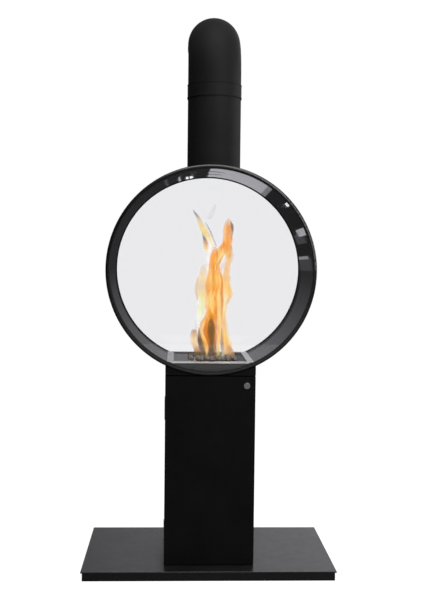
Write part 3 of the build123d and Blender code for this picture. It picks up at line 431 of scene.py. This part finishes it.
class MaterialGraph(Graph):
    """The graph of one new material."""

    def __init__(self, name):
        self.material = bpy.data.materials.new(name)
        self.material.use_nodes = True
        super().__init__(self.material.node_tree)
        self.shader = self.tree.nodes["Principled BSDF"]
        self.output = self.tree.nodes["Material Output"]
        self.place = self.add("ShaderNodeTexCoord").outputs["Object"]

    def stretched(self, stretch):
        """The place with each axis scaled, for grain that runs one way."""
        mapping = self.add("ShaderNodeMapping")
        self.put(self.place, mapping.inputs["Vector"])
        mapping.inputs["Scale"].default_value = stretch
        return mapping.outputs["Vector"]

    def noise(self, scale, detail=3.0, roughness=0.5, stretch=None):
        node = self.add("ShaderNodeTexNoise")
        self.put(self.stretched(stretch) if stretch else self.place, node.inputs["Vector"])
        node.inputs["Scale"].default_value = scale
        node.inputs["Detail"].default_value = detail
        node.inputs["Roughness"].default_value = roughness
        return node.outputs["Fac"]

    def cells(self, scale):
        node = self.add("ShaderNodeTexVoronoi")
        self.put(self.place, node.inputs["Vector"])
        node.inputs["Scale"].default_value = scale
        return node.outputs["Distance"]

    def blend(self, a, share_a, b, share_b):
        """Two noises added, each at its share."""
        return self.plus(self.times(a, share_a), self.times(b, share_b))

    def vary(self, source, to_low, to_high):
        """A value that wanders between two others with a noise."""
        return self.spread(source, NOISE_LOW, NOISE_HIGH, to_low, to_high)

    def ramp(self, source, stops):
        """Colours over a value, from stops that each have a position and a colour."""
        node = self.add("ShaderNodeValToRGB")
        self.put(source, node.inputs["Fac"])
        elements = node.color_ramp.elements
        while len(elements) < len(stops):
            elements.new(0.5)
        for element, (position, colour) in zip(elements, stops):
            element.position = position
            element.color = (*colour, 1.0)
        return node.outputs["Color"]

    def shades(self, source, colour, dark, light, low=NOISE_LOW, high=NOISE_HIGH):
        """One colour, from a dark to a light share of it, over a noise."""
        return self.ramp(source, [(low, shade(colour, dark)), (high, shade(colour, light))])

    def paint(self, colour):
        self.put(colour, self.shader.inputs["Base Color"])

    def roughen(self, roughness):
        self.put(roughness, self.shader.inputs["Roughness"])

    def fix(self, name, value):
        """Sets one constant of the shader."""
        self.shader.inputs[name].default_value = value

    def bump(self, height, distance):
        node = self.add("ShaderNodeBump")
        self.put(height, node.inputs["Height"])
        node.inputs["Distance"].default_value = distance
        node.inputs["Strength"].default_value = 1.0
        self.put(node.outputs["Normal"], self.shader.inputs["Normal"])

    def clear(self, colour=WHITE):
        """A surface that light passes straight through."""
        node = self.add("ShaderNodeBsdfTransparent")
        node.inputs["Color"].default_value = colour
        return node.outputs["BSDF"]

    def matt(self, colour):
        node = self.add("ShaderNodeBsdfDiffuse")
        node.inputs["Color"].default_value = colour
        return node.outputs["BSDF"]

    def glow(self, colour, strength):
        node = self.add("ShaderNodeEmission")
        self.put(colour, node.inputs["Color"])
        node.inputs["Strength"].default_value = strength
        return node.outputs["Emission"]

    def surface(self, factor, first, second):
        """Makes the surface a mix of two shaders."""
        both = self.add("ShaderNodeMixShader")
        self.put(factor, both.inputs["Fac"])
        self.put(first, both.inputs[1])
        self.put(second, both.inputs[2])
        self.put(both.outputs["Shader"], self.output.inputs["Surface"])

    def without_shader(self):
        """The material, when it doesn't use the shader that it came with."""
        self.tree.nodes.remove(self.shader)
        return self.material


def shade(colour, factor):
    """A darker or lighter share of a colour."""
    return tuple(min(1.0, part * factor) for part in colour)


# Materials

def powder_coat(name, colour, roughness, shine):
    """Paint with a fine orange peel, a little dust and uneven sheen."""
    graph = MaterialGraph(name)
    clouds = graph.noise(scale=7.0, detail=4.0)
    peel = graph.noise(scale=1.0 / (0.8 * MM), detail=2.0)
    rub = graph.noise(scale=38.0, detail=5.0, roughness=0.65)
    tone = graph.blend(clouds, 0.7, rub, 0.3)
    graph.paint(graph.shades(tone, colour, dark=0.75, light=1.35))
    graph.roughen(graph.vary(rub, roughness - 0.03, roughness + 0.03))
    graph.bump(peel, distance=0.004 * MM)
    graph.fix("Specular IOR Level", shine)
    return graph.material


def enamel(name, dark_film):
    """Gloss black enamel with a faint waviness from firing, under a dark matt film: painted shade
    towards the liner's rear edge and low down, and an even darkening at the given level."""
    graph = MaterialGraph(name)
    wave = graph.noise(scale=9.0, detail=2.0)
    haze = graph.noise(scale=55.0, detail=5.0, roughness=0.6)
    graph.paint(graph.ramp(haze, [(0.3, (0.012, 0.012, 0.013)), (0.75, (0.022, 0.021, 0.021))]))
    graph.roughen(graph.vary(haze, 0.010, 0.030))
    graph.bump(wave, distance=0.06 * MM)
    graph.fix("Specular IOR Level", 0.5)
    _, y, z = graph.split(graph.place)
    # Painted shade: a dark matt film towards the liner's rear edge and low down, where its mirror
    # image darkens
    painted_shade = graph.times(graph.spread(y, SHADE_START, SHADE_START + SHADE_EDGE),
                       graph.spread(z, SHADE_TOP, SHADE_TOP - SHADE_FADE, 0.0, SHADE_COVER),
                       graph.vary(haze, 0.85, 1.1))
    # An even dark matt film over the whole part at the given level; on the hearth deck it is
    # painted shade
    film = graph.math("MAXIMUM", painted_shade, graph.vary(haze, 0.7 * dark_film, 1.3 * dark_film))
    graph.surface(film, graph.shader.outputs["BSDF"], graph.matt(DARK_FILM_COLOUR))
    return graph.material


def brushed(name, colour, stretch, roughness, heat=0.0, depth=0.01 * MM):
    """Brushed metal with its grain along one axis, faint smears and, near the fire, a heat tint."""
    graph = MaterialGraph(name)
    grain = graph.noise(scale=1.0, detail=3.0, roughness=0.7, stretch=stretch)
    smear = graph.noise(scale=14.0, detail=4.0)
    base = graph.shades(grain, colour, dark=0.82, light=1.12, low=0.25, high=0.75)
    if heat > 0.0:
        base = graph.mix_colours(graph.spread(smear, 0.45, 0.75, 0.0, heat), base, HEAT_TINT)
    graph.paint(base)
    graph.roughen(graph.plus(graph.vary(grain, -0.05, 0.06),
                             graph.vary(smear, roughness - 0.04, roughness + 0.05)))
    graph.bump(grain, depth)
    graph.fix("Metallic", 1.0)
    return graph.material


def plated(name, colour, roughness, speckle):
    """Zinc, cast or turned metal, with a crystal or cast grain."""
    graph = MaterialGraph(name)
    cloud = graph.noise(scale=30.0, detail=4.0)
    tone = graph.blend(graph.cells(speckle), 0.5, cloud, 0.6)
    graph.paint(graph.shades(tone, colour, dark=0.7, light=1.15, low=0.2, high=0.8))
    graph.roughen(graph.vary(cloud, roughness - 0.06, roughness + 0.08))
    graph.bump(tone, distance=0.02 * MM)
    graph.fix("Metallic", 1.0)
    return graph.material


def moulded(name, colour, roughness, grain):
    """Plastic or rubber with a moulded grain."""
    graph = MaterialGraph(name)
    fine = graph.noise(scale=1.0 / grain, detail=3.0)
    graph.paint(graph.shades(graph.noise(scale=25.0, detail=3.0), colour, dark=0.8, light=1.25))
    graph.roughen(graph.vary(fine, roughness - 0.05, roughness + 0.07))
    graph.bump(fine, distance=0.03 * MM)
    return graph.material


def rope():
    """Graphite rope seal, with its braid across the ring."""
    graph = MaterialGraph("rope_seal")
    braid = graph.noise(scale=900.0, detail=2.0)
    graph.paint(graph.ramp(braid, [(0.35, (0.010, 0.010, 0.010)), (0.7, (0.035, 0.034, 0.033))]))
    graph.fix("Roughness", 0.85)
    graph.bump(braid, distance=0.2 * MM)
    return graph.material


def ceramic(name, colour, roughness):
    """Glazed ceramic with fine pits."""
    graph = MaterialGraph(name)
    pits = graph.noise(scale=260.0, detail=5.0, roughness=0.6)
    graph.paint(graph.shades(pits, colour, dark=0.85, light=1.1))
    graph.roughen(graph.vary(pits, roughness, roughness + 0.1))
    graph.bump(pits, distance=0.05 * MM)
    return graph.material


def ember():
    """Charred, glassy stone with ash on its tops and a glow in its hollows."""
    graph = MaterialGraph("ember_stone")
    lumps = graph.noise(scale=110.0, detail=6.0, roughness=0.65)
    pores = graph.noise(scale=700.0, detail=3.0)
    tone = graph.blend(lumps, 0.7, pores, 0.3)
    graph.paint(graph.ramp(tone, [(0.30, (0.10, 0.088, 0.070)), (0.50, (0.28, 0.245, 0.195)),
                                  (0.72, (0.50, 0.45, 0.37))]))
    graph.roughen(graph.vary(pores, 0.55, 0.85))
    heat = graph.ramp(lumps, [(0.0, (0.0, 0.0, 0.0)), (0.56, (0.0, 0.0, 0.0)),
                              (0.76, (0.9, 0.30, 0.06))])
    graph.put(heat, graph.shader.inputs["Emission Color"])
    graph.fix("Emission Strength", EMBER_GLOW)
    graph.bump(tone, distance=0.6 * MM)
    return graph.material


def pane():
    """Clear ceramic glass: it passes most light, greys it slightly, and mirrors a little, more
    so at a slant."""
    graph = MaterialGraph("pane_glass")
    mirror = graph.add("ShaderNodeBsdfGlossy")
    smudge = graph.noise(scale=18.0, detail=5.0, roughness=0.6)
    graph.put(graph.spread(smudge, 0.4, 0.8, 0.0, 0.06), mirror.inputs["Roughness"])
    tilt = graph.add("ShaderNodeLayerWeight").outputs["Facing"]
    gain = graph.times(graph.math("POWER", tilt, PANE_STEEPNESS), 1.0 - PANE_MIRROR)
    graph.surface(graph.plus(gain, PANE_MIRROR), graph.clear(PANE_TINT), mirror.outputs["BSDF"])
    return graph.without_shader()


def flame():
    """Burning gas: light through thin nested skins, whose colour and cover the strands carry,
    streaked upwards."""
    graph = MaterialGraph("flame")
    streak = graph.noise(scale=1.0, detail=4.0, roughness=0.6, stretch=(110.0, 110.0, 14.0))
    patch = graph.noise(scale=1.0, detail=2.0, roughness=0.5, stretch=(34.0, 34.0, 11.0))
    tint = graph.add("ShaderNodeAttribute", attribute_name="tint").outputs["Color"]
    cover = graph.add("ShaderNodeAttribute", attribute_name="cover").outputs["Fac"]
    warmth = graph.ramp(streak, [(0.34, (0.94, 0.78, 0.60)), (0.50, (1.0, 1.0, 1.0)),
                                 (0.66, (1.06, 1.14, 1.30))])
    light = graph.glow(graph.mix_colours(1.0, tint, warmth, "MULTIPLY"), FLAME_STRENGTH)
    tone = graph.blend(streak, 0.5, patch, 0.5)
    density = graph.times(cover, graph.spread(tone, 0.38, 0.60, 0.70, 1.25))
    graph.surface(density, graph.clear(), light)
    return graph.without_shader()


# Objects and curves

def new_object(name, data):
    """A new object, linked into the scene."""
    made = bpy.data.objects.new(name, data)
    bpy.context.scene.collection.objects.link(made)
    return made


def catmull(points, steps):
    """A smooth run of points through the given ones."""
    ends = [points[0]] + points + [points[-1]]
    out = []
    for a, b, c, d in zip(ends, ends[1:], ends[2:], ends[3:]):
        for n in range(steps):
            t = n / steps
            out.append(0.5 * ((2 * b) + (c - a) * t + (2 * a - 5 * b + 4 * c - d) * t * t
                              + (3 * b - a - 3 * c + d) * t ** 3))
    out.append(points[-1])
    return out


# Flames

def from_screen(tone):
    """A screen colour as linear light."""
    return [((part / 255 + 0.055) / 1.055) ** 2.4 for part in tone]


def along(stops, share):
    """The colour at this share of the way through evenly spaced stops."""
    place = share * (len(stops) - 1)
    first = min(int(place), len(stops) - 2)
    part = place - first
    return [a + (b - a) * part for a, b in zip(stops[first], stops[first + 1])]


def flame_ring(point, depth, size, seed):
    """One ring of a skin, about a point of its strand's line."""
    sway = SWAY * noise.noise(Vector((seed * SWAY_APART, point.y * SWAY_FINENESS, 0.0)))
    ring = []
    for side in range(FLAME_SIDES):
        turn = 2 * math.pi * side / FLAME_SIDES
        wobble = 1.0 + WOBBLE * noise.noise(
            Vector((math.cos(turn) + seed, math.sin(turn), point.y * WOBBLE_FINENESS)))
        radius = max(point.z * FLAME_SWELL, FLAME_LEAST) * size * wobble
        x = point.x + radius * math.cos(turn)
        y = depth + sway + radius * FLAME_DEPTH * math.sin(turn)
        ring.append(Vector((x, y, point.y)) * MM)
    return ring


def skin_faces(start, rings):
    """The sides and both ends of a closed tube of rings, whose first point is the start."""
    faces = []
    for row in range(rings - 1):
        for side in range(FLAME_SIDES):
            a = start + row * FLAME_SIDES + side
            b = start + row * FLAME_SIDES + (side + 1) % FLAME_SIDES
            faces.append((a, a + FLAME_SIDES, b + FLAME_SIDES, b))
    last = start + (rings - 1) * FLAME_SIDES
    faces.append(tuple(range(start, start + FLAME_SIDES)))
    faces.append(tuple(reversed(range(last, last + FLAME_SIDES))))
    return faces


def flame_strand(name, depth, cover, tones, points, seed, material):
    """One strand of flame as nested closed skins, thin at the outside and denser inside. Light
    crosses each skin twice."""
    line = catmull([Vector(point) for point in points], FLAME_STEPS)
    stops = [from_screen(TONES[tone]) for tone in tones]
    vertices = []
    faces = []
    tints = []
    covers = []
    for size, density in FLAME_SKINS:
        alpha = 1 - (1 - cover) ** (density / 2)
        faces.extend(skin_faces(len(vertices), len(line)))
        for row, point in enumerate(line):
            share = row / (len(line) - 1)
            fade = min(1.0, share / FLAME_FADE, (1 - share) / FLAME_FADE)
            vertices.extend(flame_ring(point, depth, size, seed))
            tints.extend([*along(stops, share), 1.0] * FLAME_SIDES)
            covers.extend([alpha * fade] * FLAME_SIDES)
    mesh = bpy.data.meshes.new(f"flame_{name}")
    mesh.from_pydata([tuple(v) for v in vertices], [], faces)
    mesh.shade_smooth()
    mesh.materials.append(material)
    mesh.attributes.new("tint", "FLOAT_COLOR", "POINT").data.foreach_set("color", tints)
    mesh.attributes.new("cover", "FLOAT", "POINT").data.foreach_set("value", covers)
    piece = new_object(f"flame_{name}", mesh)
    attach(piece, "stove")


def make_flames():
    material = flame()
    for seed, (name, (depth, cover, tones, points)) in enumerate(STRANDS.items()):
        flame_strand(name, depth, cover, tones, points, seed, material)


# Ember bed

def ember_mesh(radius, dice):
    """One lump of lava stone, rough and squat."""
    stone = bmesh.new()
    bmesh.ops.create_icosphere(stone, subdivisions=3, radius=1.0)
    shift = Vector([dice.uniform(-EMBER_APART, EMBER_APART) for _ in range(3)])
    stretch = Vector([dice.uniform(*EMBER_WIDTHS), dice.uniform(*EMBER_WIDTHS),
                      dice.uniform(*EMBER_HEIGHTS)])
    turn = Matrix.Rotation(dice.uniform(0, 2 * math.pi), 4, "Z")
    lump_size, lump_fineness = EMBER_LUMP
    dent_size, dent_fineness = EMBER_DENT
    for vert in stone.verts:
        way = vert.co.normalized()
        lump = EMBER_BODY + lump_size * noise.noise(way * lump_fineness + shift)
        lump -= dent_size * abs(noise.noise(way * dent_fineness + shift))
        place = way * lump
        vert.co = turn @ (place * stretch) * radius
    return stone


def lay_stone(stone, middle, radius, low, high):
    """Moves a stone to its place in the bed, sunk a little and inside the bed's box."""
    foot = min(vert.co.z for vert in stone.verts)
    reach = max(vert.co.z for vert in stone.verts)
    lift = min(low.z - foot - radius * EMBER_SINK, high.z - EMBER_TOP_SPARE - reach)
    place = Vector((*middle, lift))
    for vert in stone.verts:
        vert.co += place
        vert.co.x = min(max(vert.co.x, low.x), high.x)
        vert.co.y = min(max(vert.co.y, low.y), high.y)
        vert.co.z = max(vert.co.z, low.z)


def make_embers():
    """Lava stones over the CAD ember bed's field, inside its box."""
    low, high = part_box("ember_stones")
    dice = random.Random(EMBER_SEED)
    joined = bmesh.new()
    columns = round((high.x - low.x) / EMBER_CELL)
    rows = round((high.y - low.y) / EMBER_CELL)
    for column in range(columns):
        for row in range(rows):
            radius = EMBER_CELL * dice.uniform(*EMBER_RADII)
            x = low.x + (column + 0.5) * (high.x - low.x) / columns
            x += dice.uniform(-EMBER_STRAY, EMBER_STRAY)
            y = low.y + (row + 0.5) * (high.y - low.y) / rows
            y += dice.uniform(-EMBER_STRAY, EMBER_STRAY)
            stone = ember_mesh(radius, dice)
            lay_stone(stone, (x, y), radius, low, high)
            mesh = bpy.data.meshes.new("ember_part")
            stone.to_mesh(mesh)
            stone.free()
            joined.from_mesh(mesh)
            bpy.data.meshes.remove(mesh)
    mesh = bpy.data.meshes.new("ember_bed")
    joined.to_mesh(mesh)
    joined.free()
    mesh.shade_smooth()
    mesh.materials.append(ember())
    piece = new_object("ember_bed", mesh)
    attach(piece, "stove")
    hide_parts("ember_stones")


# Materials of the CAD nodes

def slot_looks():
    """The look of each material slot of the CAD model."""
    return {
        "satin_black": powder_coat(
            "base_powder_coat", (0.012, 0.012, 0.0125), roughness=0.32, shine=0.48),
        "black_steel": powder_coat(
            "black_powder_coat", (0.006, 0.006, 0.0063), roughness=0.28, shine=0.45),
        "black_enamel": enamel("firebox_enamel", dark_film=0.0),
        "flue_black": powder_coat(
            "flue_paint", (0.0117, 0.0117, 0.0120), roughness=0.55, shine=0.10),
        "clear_glass": pane(),
        "dark_steel": powder_coat(
            "blackened_steel", (0.020, 0.020, 0.020), roughness=0.4, shine=0.5),
        "rope_seal": rope(),
        "brushed_stainless": brushed(
            "brushed_stainless", (0.60, 0.59, 0.57), ALONG_X, roughness=0.28, heat=0.25),
        "white_ceramic": ceramic("white_ceramic", (0.80, 0.78, 0.73), roughness=0.25),
        "zinc_steel": plated("zinc_plate", (0.62, 0.62, 0.60), roughness=0.32, speckle=160.0),
        "lock_chrome": brushed("lock_chrome", (0.28, 0.28, 0.28), ALONG_Z, roughness=0.28),
        "cast_aluminium": plated(
            "cast_aluminium", (0.58, 0.58, 0.58), roughness=0.48, speckle=500.0),
        "brass": brushed("turned_brass", (0.70, 0.50, 0.21), ALONG_X, roughness=0.24),
        "pipe_metal": brushed("drawn_tube", (0.72, 0.70, 0.68), ALONG_Z, roughness=0.25),
        "black_plastic": moulded(
            "black_plastic", (0.022, 0.022, 0.023), roughness=0.45, grain=0.5 * MM),
        "red_plastic": moulded(
            "red_plastic", (0.42, 0.018, 0.016), roughness=0.28, grain=0.9 * MM),
        "black_rubber": moulded(
            "black_rubber", (0.018, 0.018, 0.018), roughness=0.75, grain=0.4 * MM),
    }


def node_looks():
    """The looks of the nodes that differ from the rest of their slot."""
    door = powder_coat(
        "door_powder_coat", (0.0068, 0.0068, 0.0068), roughness=0.5, shine=0.06)
    rim = powder_coat(
        "rim_gloss_coat", (0.004, 0.004, 0.0042), roughness=0.24, shine=0.7)
    return {
        "pedestal_door": door,
        "pedestal_casing": door,
        "neck_cladding": door,
        "drum_saddle": door,
        "front_rim": rim,
        "rear_rim": rim,
        "burner_trim": brushed(
            "trim_stainless", (0.90, 0.89, 0.87), ALONG_X, roughness=0.22, heat=0.1,
            depth=0.06 * MM),
        "hearth_fascias": powder_coat(
            "fascia_enamel", (0.022, 0.022, 0.022), roughness=0.35, shine=0.30),
        # The deck's even dark film is painted shade: the shade of the trim's inner edge
        "hearth_deck": enamel("deck_enamel", dark_film=0.62),
        "pilot_cover": enamel("cover_enamel", dark_film=0.16),
    }


def paint_nodes():
    """Gives each CAD node its look. The ember stones keep theirs, because they are replaced."""
    by_slot = slot_looks()
    by_node = node_looks()
    for part in frame["record"]["subparts"]:
        look = by_node.get(part["node"], by_slot.get(part["material_slot"]))
        if look is None:
            continue
        for slot in nodes[part["node"]].material_slots:
            slot.material = look


# Stage

def make_floor():
    """A round white floor, lit evenly to the camera and matt to everything else."""
    graph = MaterialGraph("floor_white")
    matt = graph.matt(FLOOR_GREY)
    total = graph.add("ShaderNodeAddShader")
    graph.put(graph.glow(WHITE, FLOOR_GLOW), total.inputs[0])
    graph.put(matt, total.inputs[1])
    graph.surface(graph.camera_ray(), matt, total.outputs["Shader"])
    turns = [2 * math.pi * n / FLOOR_SIDES for n in range(FLOOR_SIDES)]
    corners = [(FLOOR_RADIUS * math.cos(turn), FLOOR_RADIUS * math.sin(turn), -FLOOR_DROP)
               for turn in turns]
    mesh = bpy.data.meshes.new("floor")
    mesh.from_pydata(corners, [], [tuple(range(FLOOR_SIDES))])
    mesh.materials.append(graph.without_shader())
    floor = new_object("floor", mesh)


def back_level(graph, y, sideways, upwards):
    """The studio's back, brighter upwards and to the right."""
    top_level = BACK_LEVEL + BACK_RISE * BACK_TOP_SLOPE
    height = graph.spread(upwards, 0.0, BACK_TOP_SLOPE, BACK_LEVEL, top_level)
    side = graph.plus(graph.times(sideways, SIDE_RISE), SIDE_LEVEL)
    side = graph.math("MINIMUM", graph.math("MAXIMUM", side, SIDE_LIMITS[0]), SIDE_LIMITS[1])
    return graph.times(height, side, graph.ease(y, *BACK_Y),
                       graph.ease(upwards, *BACK_LOW_SLOPES, BACK_LOW_SHARE, 1.0),
                       graph.ease(upwards, *BACK_HIGH_SLOPES, 1.0, BACK_HIGH_SHARE))


def with_mirrored(graph, level, y, sideways, upwards):
    """Adds the lit things low behind the fire."""
    across = graph.math("SUBTRACT", sideways, MIRROR_CENTRE[0])
    down = graph.math("SUBTRACT", MIRROR_CENTRE[1], upwards)
    angle = graph.times(graph.math("ARCTAN2", across, down), math.degrees(1.0))
    distance = graph.math("SQRT", graph.plus(graph.times(across, across), graph.times(down, down)))
    ahead = graph.math("GREATER_THAN", y, MIRROR_LEAST_Y)
    for middle, half_angle, reach, half_depth, bright in MIRRORED.values():
        spot = graph.times(graph.within(angle, middle, half_angle, MIRROR_SOFT_ANGLE),
                           graph.within(distance, reach, half_depth, MIRROR_SOFT_DEPTH),
                           ahead, bright)
        level = graph.plus(level, spot)
    return level


def make_world():
    """White where the camera looks straight at it. Around the object it is a dim studio whose
    back grows brighter upwards and to the right, with a few lit things low behind the fire."""
    world = bpy.data.worlds.new("studio")
    bpy.context.scene.world = world
    world.use_nodes = True
    graph = Graph(world.node_tree)
    graph.tree.nodes.clear()
    x, y, z = graph.split(graph.add("ShaderNodeTexCoord").outputs["Generated"])
    to_back = graph.math("MAXIMUM", y, LEAST_WAY_BACK)
    sideways = graph.math("DIVIDE", x, to_back)
    upwards = graph.math("DIVIDE", z, to_back)
    level = back_level(graph, y, sideways, upwards)
    level = with_mirrored(graph, level, y, sideways, upwards)
    right = graph.times(graph.ease(x, *RIGHT_X, 0.0, RIGHT_LEVEL), graph.ease(z, *RIGHT_Z))
    ceiling = graph.ease(z, *CEILING_Z, 0.0, CEILING_LEVEL)
    front = graph.times(graph.ease(y, *FRONT_Y, 0.0, FRONT_GLOW), graph.within(z, *FRONT_BAND_Z))
    level = graph.plus(level, right, ceiling, FRONT_LEVEL, front)
    studio = graph.add("ShaderNodeCombineColor")
    graph.put(level, studio.inputs["Red"])
    graph.put(level, studio.inputs["Green"])
    graph.put(graph.times(level, STUDIO_BLUE), studio.inputs["Blue"])
    seen = graph.mix_colours(graph.camera_ray(), studio.outputs["Color"], WHITE)
    background = graph.add("ShaderNodeBackground")
    graph.put(seen, background.inputs["Color"])
    out = graph.add("ShaderNodeOutputWorld")
    graph.put(background.outputs["Background"], out.inputs["Surface"])


def make_lights():
    """Soft boxes, which the camera doesn't see."""
    for name, (place, target, width, height, power) in SOFTBOXES.items():
        light = bpy.data.lights.new(name, "AREA")
        light.shape = "RECTANGLE"
        light.size = width
        light.size_y = height
        light.energy = power
        lamp = new_object(name, light)
        lamp.location = place
        lamp.visible_camera = False
        lamp.rotation_mode = "QUATERNION"
        lamp.rotation_quaternion = (Vector(target) - Vector(place)).to_track_quat("-Z", "Y")


def make_camera():
    """The photograph's camera, from its yaw, pitch and roll."""
    yaw = math.radians(CAMERA_YAW)
    pitch = math.radians(CAMERA_PITCH)
    roll = math.radians(CAMERA_ROLL)
    ahead = Vector((math.sin(yaw) * math.cos(pitch), math.cos(yaw) * math.cos(pitch),
                    math.sin(pitch)))
    level_right = Vector((math.cos(yaw), -math.sin(yaw), 0.0))
    level_up = level_right.cross(ahead)
    right = level_right * math.cos(roll) + level_up * math.sin(roll)
    up = level_up * math.cos(roll) - level_right * math.sin(roll)
    data = bpy.data.cameras.new("photo_camera")
    data.sensor_width = CAMERA_SENSOR
    data.lens = CAMERA_LENS
    data.clip_start, data.clip_end = CAMERA_REACH
    camera = new_object("photo_camera", data)
    turn = Matrix((right, up, -ahead)).transposed()
    camera.matrix_world = Matrix.Translation(CAMERA_PLACE) @ turn.to_4x4()
    bpy.context.scene.camera = camera


paint_nodes()
make_embers()
make_flames()
make_floor()
make_world()
make_lights()
make_camera()

scene = bpy.context.scene
scene.view_settings.view_transform = "Standard"
scene.view_settings.look = "None"
scene.cycles.transparent_max_bounces = CLEAR_LAYERS
scene.cycles.use_denoising = True
